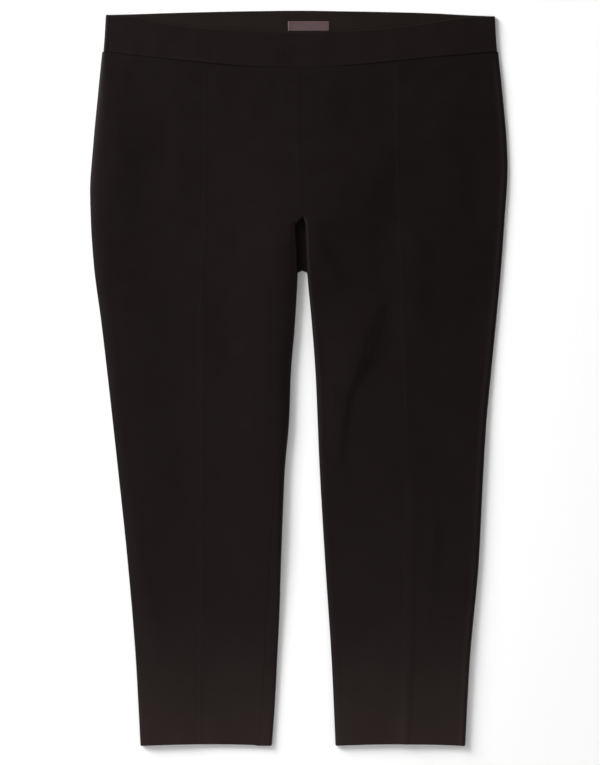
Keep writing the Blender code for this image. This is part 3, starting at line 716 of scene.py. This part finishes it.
def front_grid(leg):
    """A front panel's points, a row for each height and a column for each place across."""
    nominal = leg_rows(FRONT_SPANS, FRONT_ROW)[:, None]
    outer, inner, tuck = leg.outer(nominal), leg.inner(nominal), leg.tuck(nominal)
    inward = leg.inward
    turn = inner_turn(nominal)
    fold, height = outer_fold(leg, nominal, "front_seam", 1.0)
    parts = [fold]

    drop = SLOT_EDGE_DROP * turn * smooth((nominal - CROTCH_Y) / CROTCH_TURN)
    inseam = leg.inseam(nominal) - drop
    inner_height = leg.inner_height(nominal)
    first = outer + inward * (height / 2.0 + FRONT_OFF_FOLD)
    rolled_in = np.maximum(inner_height / 2.0, inseam + quarter(inner_height, WALL))
    last = inner - inward * (rolled_in + FRONT_OFF_FOLD)
    ridge = tuck + RIDGE_PLACES[:, :: int(inward)]
    across = [
        spaced(first, ridge[:, :1], FOLD_COLUMN, TUCK_COLUMN, PANEL_COLUMNS)[:, :-1],
        ridge,
        spaced(ridge[:, -1:], last, TUCK_COLUMN, FOLD_COLUMN, PANEL_COLUMNS)[:, 1:],
    ]
    x = np.concatenate(across, axis=1)
    y = row_at(leg, x, nominal, "front_seam")
    parts.append((x, y, front_height(leg, x, y)))

    inner_y = row_at(leg, inner, nominal, "front_seam")
    edge = leg.inner(inner_y)
    t = inseam + mix(SEAM_GAP / 2.0, quarter(inner_height, WALL), ARC_SHARES[:, ::-1])
    x, z = leg_fold(leg, edge, -inward, t, inner_y, inner_height)
    level_x = edge - inward * t
    level_z = front_height(leg, level_x, np.broadcast_to(inner_y, level_x.shape))
    parts.append((mix(level_x, x, turn), inner_y, mix(level_z, z, turn)))

    x, y, z = joined(parts)
    rise = tuck_rise(leg, x, y)
    centre = np.broadcast_to(1.0 - turn, x.shape)
    sides, to_centre = seam_distance(x, z), np.abs(x - leg.inner(y))
    if inward > 0.0:
        rise = rise + CENTRE_RISE * centre * smooth((CENTRE_TURNING - to_centre) / CENTRE_TURNING)
    else:
        sides = np.where(to_centre < CENTRE_FLAT, mix(sides, SEAM_ROUND, centre), sides)
        groove = np.exp(-(((to_centre - CENTRE_GROOVE_AT) / CENTRE_GROOVE_WIDTH) ** 2))
        rise = rise - CENTRE_GROOVE * centre * groove
    return finished(x, y, z, sides, rise)


def tuck_rise(leg, x, y):
    """The stitched crease's height, which is pressed flatter towards the waist."""
    offset = x - leg.tuck(y)
    away = np.where(offset < 0.0, -offset / TUCK_WEST, offset / TUCK_EAST)
    rise = TUCK_HEIGHT * (1.0 - smooth(away))
    return rise * mix(TUCK_UP, TUCK_DOWN, smooth((TUCK_CHANGE_Y - y) / TUCK_CHANGE))


def cloth_run(x, z):
    """The cloth across each row, from its first point to every other."""
    step = np.hypot(np.diff(x, axis=1), np.diff(z, axis=1))
    return np.concatenate((np.zeros((len(x), 1)), np.cumsum(step, axis=1)), axis=1)


def seam_distance(x, z):
    """The cloth between each point and the nearer side seam."""
    along = cloth_run(x, z)
    return np.minimum(along, along[:, -1:] - along)


def finished(x, y, z, seams, rise):
    """The grid with its wall to either side, thinner where cloth rounds into a seam or a hem."""
    hem = edge_round(y - y[:1], HEM_EDGE, HEM_LEAST)
    up = WALL / 2.0 * hem * edge_round(seams, SEAM_ROUND, 1.0 - SEAM_DEPTH) + rise * hem
    down = (WALL / 2.0 + hem_turn(y)) * hem
    return Grid(x, y, z, up, down)


def back_grid(leg):
    """A back panel's points, a row for each height and a column for each place across."""
    nominal = leg_rows(BACK_SPANS, BACK_ROW)[:, None]
    outer, inner, centre = leg.outer(nominal), leg.inner(nominal), centre_back(nominal)
    inward = leg.inward
    turn = smooth((CROTCH_Y - nominal) / CROTCH_TURN)
    inseam = leg.inseam(nominal)
    fold, height = outer_fold(leg, nominal, "back_seam", -1.0)
    parts = [fold]

    inner_height = leg.inner_height(nominal)
    fold_quarter = quarter(inner_height, WALL)
    end = inseam - SEAM_GAP / 2.0
    rim = mix(centre, inner, turn)
    first = outer + inward * (height / 2.0 + BACK_OFF_FOLD)
    level_to = mix(fold_quarter, inner_height / 2.0, turn) + end * (1.0 - turn) + BACK_OFF_CENTRE
    last = rim - inward * level_to
    x = mix(first, last, np.linspace(0.0, 1.0, BACK_COLUMNS)[None, :])
    y = row_at(leg, x, nominal, "back_seam")
    parts.append((x, y, WALL / 2.0 + back_relief(leg, x, y)))

    inner_y = row_at(leg, rim, nominal, "back_seam")
    t = mix(-fold_quarter, end, INSEAM_SHARES)
    x, z = leg_fold(leg, inner, -inward, t, inner_y, inner_height)
    x = mix(centre - inward * (end - t + SEAM_GAP / 2.0), x, turn)
    parts.append((x, inner_y, mix(WALL / 2.0, z, turn)))

    x, y, z = joined(parts)
    seams = np.minimum(seam_distance(x, z), waist["back_seam"](x) - SEAM_GAP / 2.0 - y)
    return finished(x, y, z, seams, 0.0)


def back_relief(leg, x, y):
    """Shallow creases of the back, lifted off the floor where nothing presses on them."""
    edge = np.minimum(np.abs(x - leg.outer(y)), np.abs(x - leg.inner(y)))
    lifted = np.clip(undulation(x, y, BACK_ROLLS) - BACK_PRESSED, 0.0, BACK_MOST)
    above_hem = smooth((y - HEM_CORNER_Y - BACK_HEM_MARGIN) / BACK_HEM_EASE)
    return lifted * smooth((edge - BACK_MARGIN) / BACK_EASE) * above_hem


def band_grid(upper):
    """Half of the waistband, from its seam to its folded top."""
    sign, half_name = (1.0, "front") if upper else (-1.0, "back")
    seam_of, top_of = waist[half_name + "_seam"], waist[half_name + "_top"]

    def y_at(x):
        return mix(seam_of(x) + SEAM_GAP / 2.0, top_of(x), BAND_SHARES)

    arc = mix(SEAM_GAP / 2.0, quarter(BAND_FOLD_HEIGHT, BAND_WALL), ARC_SHARES)
    ends = []
    for side, inward in (("right", 1.0), ("left", -1.0)):
        y = y_at(band_side[side](WAIST_REF_Y))
        x, z = fold_point(band_side[side](y), inward, sign * arc, BAND_WALL, BAND_FOLD_HEIGHT)
        ends.append((x, y, z))
    first, last = ends[0][0][:, -1:] + BAND_OFF_FOLD, ends[1][0][:, -1:] - BAND_OFF_FOLD
    x = mix(first, last, np.linspace(0.0, 1.0, BAND_COLUMNS)[None, :])
    y = y_at(x)
    z = np.full_like(x, BAND_WALL / 2.0)
    if upper:
        z = band_height(x, y)
    right, left = ends[0], tuple(part[:, ::-1] for part in ends[1])
    x, y, z = joined([right, (x, y, z), left])
    half = BAND_WALL / 2.0 * edge_round(top_of(x) - y, BAND_TOP_ROUND, BAND_TOP_LEAST)
    seams = np.minimum(y - seam_of(x) - SEAM_GAP / 2.0, seam_distance(x, z))
    up = half * edge_round(seams, SEAM_ROUND, 1.0 - SEAM_DEPTH / 2.0)
    return Grid(x, y, z, up, half)


def placed(name, data):
    """A new object in the scene."""
    made = bpy.data.objects.new(name, data)
    bpy.context.scene.collection.objects.link(made)
    return made


def cloth_length(x, z, zero):
    """The cloth across a row from a grain line, for the weave to follow."""
    along = cloth_run(x, z)
    at = np.abs(x - zero).argmin(axis=1)
    return along - along[np.arange(len(x)), at][:, None]


def section_normals(grid, outward):
    """The cloth's normal in each row's section."""
    dx, dz = np.gradient(grid.x, axis=1), np.gradient(grid.z, axis=1)
    length = np.hypot(dx, dz)
    nx, nz = -dz / length, dx / length
    flip = outward * np.sign(nz.mean())
    return nx * flip, nz * flip


def shell(name, grid, material, grain_x, outward=1.0):
    """A closed wall of cloth through a grid, its outer face up or down, its weave on the grain."""
    rows, columns = grid.x.shape
    nx, nz = section_normals(grid, outward)

    def side(offset):
        return np.stack((grid.x + offset * nx, grid.y, grid.z + offset * nz), axis=2).reshape(-1, 3)

    points = np.concatenate((side(grid.up), side(-grid.down))) * MM
    index = np.arange(rows * columns).reshape(rows, columns)
    inside = index + rows * columns

    def quads(a, b, c, d):
        return np.stack((a.ravel(), b.ravel(), c.ravel(), d.ravel()), axis=1)

    faces = np.concatenate((
        quads(index[:-1, :-1], index[:-1, 1:], index[1:, 1:], index[1:, :-1]),
        quads(inside[:-1, :-1], inside[1:, :-1], inside[1:, 1:], inside[:-1, 1:]),
        quads(index[:-1, 0], index[1:, 0], inside[1:, 0], inside[:-1, 0]),
        quads(index[:-1, -1], inside[:-1, -1], inside[1:, -1], index[1:, -1]),
        quads(index[0, :-1], inside[0, :-1], inside[0, 1:], index[0, 1:]),
        quads(index[-1, :-1], index[-1, 1:], inside[-1, 1:], inside[-1, :-1]),
    ))
    forward = np.diff(grid.x, axis=1).mean() > 0.0
    if (outward > 0.0) != forward:
        faces = faces[:, ::-1]
    mesh = bpy.data.meshes.new(name)
    mesh.from_pydata(points.tolist(), [], faces.tolist())
    u = cloth_length(grid.x, grid.z, grain_x) * MM
    uv = np.stack((u, grid.y * MM), axis=2).reshape(-1, 2)
    uv = np.concatenate((uv, uv))
    layer = mesh.uv_layers.new(name="grain")
    corners = np.empty(len(mesh.loops), int)
    mesh.loops.foreach_get("vertex_index", corners)
    layer.data.foreach_set("uv", uv[corners].astype(np.float32).ravel())
    mesh.shade_smooth()
    mesh.materials.append(material)
    return placed(name, mesh)


def stitches(name, places, along, length, material):
    """A row of stitches, each a short thread that dips into the cloth at its ends."""
    places = np.asarray(places, float)
    along = np.broadcast_to(np.asarray(along, float), (len(places), 2))
    along = along / np.linalg.norm(along, axis=1)[:, None]
    across = np.stack((-along[:, 1], along[:, 0]), axis=1)
    turn = np.arange(STITCH_SIDES) * 2.0 * math.pi / STITCH_SIDES
    points = []
    for at, share in STITCH_RINGS:
        for angle in turn:
            ring = STITCH_RADIUS * share
            flat = places[:, :2] + along * at * length / 2.0 + across * ring * math.cos(angle)
            middle = STITCH_RADIUS * (STITCH_LIFT - STITCH_SINK * at**4)
            z = places[:, 2] + middle + ring * math.sin(angle)
            points.append(np.concatenate((flat, z[:, None]), axis=1))
    points = np.stack(points, axis=1).reshape(-1, 3) * MM
    one = len(STITCH_RINGS) * STITCH_SIDES
    faces = [tuple(range(STITCH_SIDES))[::-1], tuple(range(one - STITCH_SIDES, one))]
    for low in range(0, one - STITCH_SIDES, STITCH_SIDES):
        high = low + STITCH_SIDES
        for j in range(STITCH_SIDES):
            k = (j + 1) % STITCH_SIDES
            faces.append((low + j, low + k, high + k, high + j))
    starts = range(0, len(places) * one, one)
    every = [tuple(start + corner for corner in face) for start in starts for face in faces]
    mesh = bpy.data.meshes.new(name)
    mesh.from_pydata(points.tolist(), [], every)
    mesh.shade_smooth()
    mesh.materials.append(material)
    return placed(name, mesh)


def leg_stitches(name, leg, material):
    """The stitches along a leg's crease, and the small ones that hold its hem."""
    y = np.arange(HEM_CORNER_Y + HEM_RISE + STITCH_STEP, WAIST_REF_Y - STITCH_TOP, STITCH_STEP)
    x = leg.tuck(y) + STITCH_OFFSET
    z = front_height(leg, x, y) + tuck_rise(leg, x, y) + WALL / 2.0
    places = np.stack((x, y, z), axis=1)
    crease = stitches(name + "_crease", places, (0.0, 1.0), STITCH_LENGTH, material)
    level = HEM_LINE_Y - PRICK_DROP
    outer, inner = float(leg.outer(level)), float(leg.inner(level))
    edge = leg.inward * float(leg.outer_reach(level))
    x = np.arange(outer + edge, inner - leg.inward * PRICK_MARGIN, leg.inward * PRICK_STEP)
    y = level + HEM_RISE * (1.0 - ((2.0 * x - outer - inner) / (outer - inner)) ** 2)
    z = front_height(leg, x, y) + tuck_rise(leg, x, y) + WALL / 2.0 - STITCH_RADIUS / 2.0
    places = np.stack((x, y, z), axis=1)
    hem = stitches(name + "_hem", places, (1.0, 0.25), PRICK_LENGTH, material)
    for made in (crease, hem):
        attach(made, "root")
    return [crease, hem]


def add(tree, kind, inputs=None, **settings):
    """A shader node with its settings, and its inputs as values or links."""
    node = tree.nodes.new(kind)
    for name, value in settings.items():
        setattr(node, name, value)
    for name, value in (inputs or {}).items():
        if isinstance(value, bpy.types.NodeSocket):
            tree.links.new(value, node.inputs[name])
        else:
            node.inputs[name].default_value = value
    return node


def new_material(name):
    """A material, its node tree and its main shader."""
    material = bpy.data.materials.new(name)
    material.use_nodes = True
    return material, material.node_tree, material.node_tree.nodes["Principled BSDF"]


def tones(tree, share, dark, light):
    """A colour between two tones."""
    colour = add(tree, "ShaderNodeMix", {"Factor": share}, data_type="RGBA")
    colour.inputs[6].default_value = (*dark, 1.0)
    colour.inputs[7].default_value = (*light, 1.0)
    return colour.outputs[2]


def math_node(tree, operation, *values):
    """The result of a sum on values or links."""
    return add(tree, "ShaderNodeMath", dict(enumerate(values)), operation=operation).outputs[0]


def cloth_material(cloth):
    """Stretch cloth: fine crossing threads, a mottled tone with painted light that lightens it
    towards the hems, and a soft nap over a fine sheen.
    """
    material, tree, shader = new_material(cloth.name)
    grain = add(tree, "ShaderNodeUVMap", uv_map="grain").outputs["UV"]
    mottle = {"Vector": grain, "Scale": MOTTLE_SCALE, "Detail": 4.0, "Roughness": 0.6}
    mottle = add(tree, "ShaderNodeTexNoise", mottle).outputs["Fac"]
    patch = {"Vector": grain, "Scale": PATCH_SCALE, "Detail": 2.0}
    patch = add(tree, "ShaderNodeTexNoise", patch).outputs["Fac"]
    tone = {"Value": math_node(tree, "ADD", mottle, patch), "From Min": 0.7, "From Max": 1.3}
    tone = add(tree, "ShaderNodeMapRange", tone).outputs[0]
    colour = tones(tree, tone, cloth.dark, cloth.light)

    # Painted light: the colour grows lighter towards the hems, standing in for the brighter light
    # that falls there
    up_leg = add(tree, "ShaderNodeSeparateXYZ", {"Vector": grain}).outputs["Y"]
    hem_light_share = {"Value": up_leg, "From Min": PAINTED_LIGHT_FROM * MM, "From Max": PAINTED_LIGHT_TO * MM}
    hem_light_share = add(tree, "ShaderNodeMapRange", hem_light_share).outputs[0]
    hem_light_gain = math_node(tree, "MULTIPLY_ADD", math_node(tree, "POWER", hem_light_share, 2.0), PAINTED_LIGHT_GAIN, 1.0)
    hem_lit_colour = add(tree, "ShaderNodeVectorMath", {0: colour, "Scale": hem_light_gain}, operation="SCALE")
    tree.links.new(hem_lit_colour.outputs[0], shader.inputs["Base Color"])

    threads = []
    for direction, scale in (("X", WEFT_SCALE), ("Y", WARP_SCALE)):
        wave = {"Vector": grain, "Scale": scale, "Distortion": 0.6, "Detail": 1.0}
        wave = add(tree, "ShaderNodeTexWave", wave, bands_direction=direction)
        threads.append(wave.outputs["Fac"])
    weave = math_node(tree, "MULTIPLY", *threads)
    fibre = {"Vector": grain, "Scale": FIBRE_SCALE, "Detail": 2.0}
    fibre = add(tree, "ShaderNodeTexNoise", fibre).outputs["Fac"]
    raised = math_node(tree, "MULTIPLY_ADD", fibre, FIBRE_SHARE, weave)
    bump = add(tree, "ShaderNodeBump", {"Height": raised, "Strength": 1.0, "Distance": RELIEF})
    tree.links.new(bump.outputs["Normal"], shader.inputs["Normal"])

    low, high = cloth.roughness - ROUGH_SPREAD, cloth.roughness + ROUGH_SPREAD
    rough = add(tree, "ShaderNodeMapRange", {"Value": mottle, "To Min": low, "To Max": high})
    tree.links.new(rough.outputs[0], shader.inputs["Roughness"])
    shader.inputs["Specular IOR Level"].default_value = cloth.specular
    shader.inputs["Specular Tint"].default_value = WARM_GLOSS
    shader.inputs["Coat Weight"].default_value = cloth.nap
    shader.inputs["Coat Roughness"].default_value = 0.5
    shader.inputs["Coat Tint"].default_value = WARM_NAP
    shader.inputs["Sheen Weight"].default_value = cloth.sheen
    shader.inputs["Sheen Roughness"].default_value = 0.25
    shader.inputs["Sheen Tint"].default_value = WARM_SHEEN
    return material


def thread_material(name, colour):
    """Fine twisted thread with a faint gloss."""
    material, tree, shader = new_material(name)
    place = add(tree, "ShaderNodeTexCoord").outputs["Object"]
    wave = {"Vector": place, "Scale": THREAD_SCALE, "Distortion": 0.4}
    twist = add(tree, "ShaderNodeTexWave", wave, bands_direction="DIAGONAL").outputs["Fac"]
    # Painted shade and light: the thread's colour is darker between its strands and lighter on them
    dark, light = ([tone * part for part in colour] for tone in THREAD_SHADE_AND_LIGHT)
    tree.links.new(tones(tree, twist, dark, light), shader.inputs["Base Color"])
    bump = {"Height": twist, "Strength": 0.6, "Distance": THREAD_RELIEF}
    bump = add(tree, "ShaderNodeBump", bump)
    tree.links.new(bump.outputs["Normal"], shader.inputs["Normal"])
    shader.inputs["Roughness"].default_value = 0.45
    shader.inputs["Specular IOR Level"].default_value = 0.25
    return material


def label_grid():
    """The label, a thin woven tab on the inside of the back waistband."""
    x = np.linspace(*LABEL_X, LABEL_COLUMNS)[None, :]
    y = np.linspace(*LABEL_Y, LABEL_ROWS)[:, None]
    x, y = np.broadcast_arrays(x, y)
    z = BAND_WALL + SEAM_GAP + LABEL_WALL / 2.0 + 0.0 * x
    to_end = np.minimum(x - LABEL_X[0], LABEL_X[1] - x)
    edge = np.minimum(to_end, np.minimum(y - LABEL_Y[0], LABEL_Y[1] - y))
    half = LABEL_WALL / 2.0 * edge_round(edge, LABEL_ROUND, LABEL_LEAST)
    return Grid(x, y, z, half, half)


def label_stitches(material):
    """The stitches down both ends of the label."""
    y = np.arange(LABEL_Y[0] + LABEL_STITCH_LOW, LABEL_Y[1] - LABEL_STITCH_HIGH, LABEL_STITCH_STEP)
    top = BAND_WALL + SEAM_GAP + LABEL_WALL
    ends = (LABEL_X[0] + LABEL_STITCH_INSET, LABEL_X[1] - LABEL_STITCH_INSET)
    places = [(x, at, top) for x in ends for at in y]
    made = stitches("stitches_label", places, (0.0, 1.0), LABEL_STITCH_LENGTH, material)
    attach(made, "root")
    return made


def piece(made, node, slot_name, flat, area, rests_on, with_pieces=()):
    """Attaches a sheet of cloth that stands for one node to the root body and hides that node's
    part.
    """
    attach(made, "root")
    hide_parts(node)


def plain_floor():
    """A plain white floor."""
    square = ((-1, -1), (1, -1), (1, 1), (-1, 1))
    corners = [(FLOOR_HALF * x, FLOOR_HALF * y, 0.0) for x, y in square]
    mesh = bpy.data.meshes.new("floor")
    mesh.from_pydata(corners, [], [(0, 1, 2, 3)])
    material, _, shader = new_material("floor")
    shader.inputs["Base Color"].default_value = FLOOR_TONE
    shader.inputs["Roughness"].default_value = 0.9
    shader.inputs["Specular IOR Level"].default_value = 0.1
    mesh.materials.append(material)
    placed("floor", mesh)


def area_light(light):
    """A rectangular light turned towards its target, unseen by the camera."""
    data = bpy.data.lights.new(light.name, "AREA")
    data.shape = "RECTANGLE"
    data.size, data.size_y = light.size
    data.energy = light.power
    made = placed(light.name, data)
    made.location = light.place
    aim = Vector(light.target) - Vector(light.place)
    made.rotation_euler = aim.to_track_quat("-Z", "Y").to_euler()
    made.visible_camera = False


def surround():
    """A pale surround, bright low down and dim overhead."""
    world = bpy.data.worlds.new("surround")
    bpy.context.scene.world = world
    world.use_nodes = True
    tree = world.node_tree
    direction = add(tree, "ShaderNodeTexCoord").outputs["Generated"]
    part = add(tree, "ShaderNodeSeparateXYZ", {"Vector": direction}).outputs
    rise = {"Value": part["Z"], "From Min": SURROUND_LOW, "From Max": SURROUND_HIGH}
    rise.update({"To Min": SURROUND_BRIGHT, "To Max": SURROUND_DIM})
    by_height = add(tree, "ShaderNodeMapRange", rise, interpolation_type="SMOOTHSTEP").outputs[0]
    from_east = math_node(tree, "MULTIPLY_ADD", part["X"], SURROUND_EAST, SURROUND_EVEN)
    by_side = math_node(tree, "MULTIPLY_ADD", part["Y"], SURROUND_NORTH, from_east)
    background = tree.nodes["Background"]
    background.inputs["Color"].default_value = (1.0, 1.0, 1.0, 1.0)
    tree.links.new(math_node(tree, "MULTIPLY", by_height, by_side), background.inputs["Strength"])


def camera():
    """Straight down from above, the frame a little wider than the garment."""
    data = bpy.data.cameras.new("camera")
    data.lens = LENS
    data.sensor_width = SENSOR
    made = placed("camera", data)
    made.location = (CAMERA_X, CAMERA_Y, VIEW_HEIGHT / 2.0 * LENS / (SENSOR / 2.0))
    bpy.context.scene.camera = made


leg_cloth = cloth_material(LEG_TWILL)
band_cloth = cloth_material(BAND_TWILL)
band_inside = cloth_material(BAND_FACING)
leg_thread = thread_material("leg_thread", LEG_THREAD)
label_thread = thread_material("label_thread", LABEL_THREAD)
label_cloth = cloth_material(LABEL_SATIN)

for side, leg in (("right", right_leg), ("left", left_leg)):
    centre = float(leg.tuck(0.0))
    front = shell("front_" + side + "_cloth", front_grid(leg), leg_cloth, centre)
    back = shell("back_" + side + "_cloth", back_grid(leg), leg_cloth, centre, -1.0)
    sewn = leg_stitches("stitches_" + side, leg, leg_thread)
    piece(front, "front_" + side, "leg_cloth", *FRONT_CUT, ["back_" + side], sewn)
    piece(back, "back_" + side, "leg_cloth", *BACK_CUT, ["floor"])

band_front = shell("waistband_front_cloth", band_grid(True), band_cloth, 0.0)
band_back = shell("waistband_back_cloth", band_grid(False), band_inside, 0.0, -1.0)
piece(band_front, "waistband_front", "band_cloth", *BAND_CUT, ["waistband_back"])
piece(band_back, "waistband_back", "band_cloth", *BAND_CUT, ["floor"])

label = shell("label_tab", label_grid(), label_cloth, 0.0)
piece(label, "label", "label_cloth", *LABEL_CUT, ["waistband_back"], [label_stitches(label_thread)])

plain_floor()
surround()
for light in LIGHTS:
    area_light(light)
camera()
bpy.context.scene.view_settings.view_transform = "Standard"
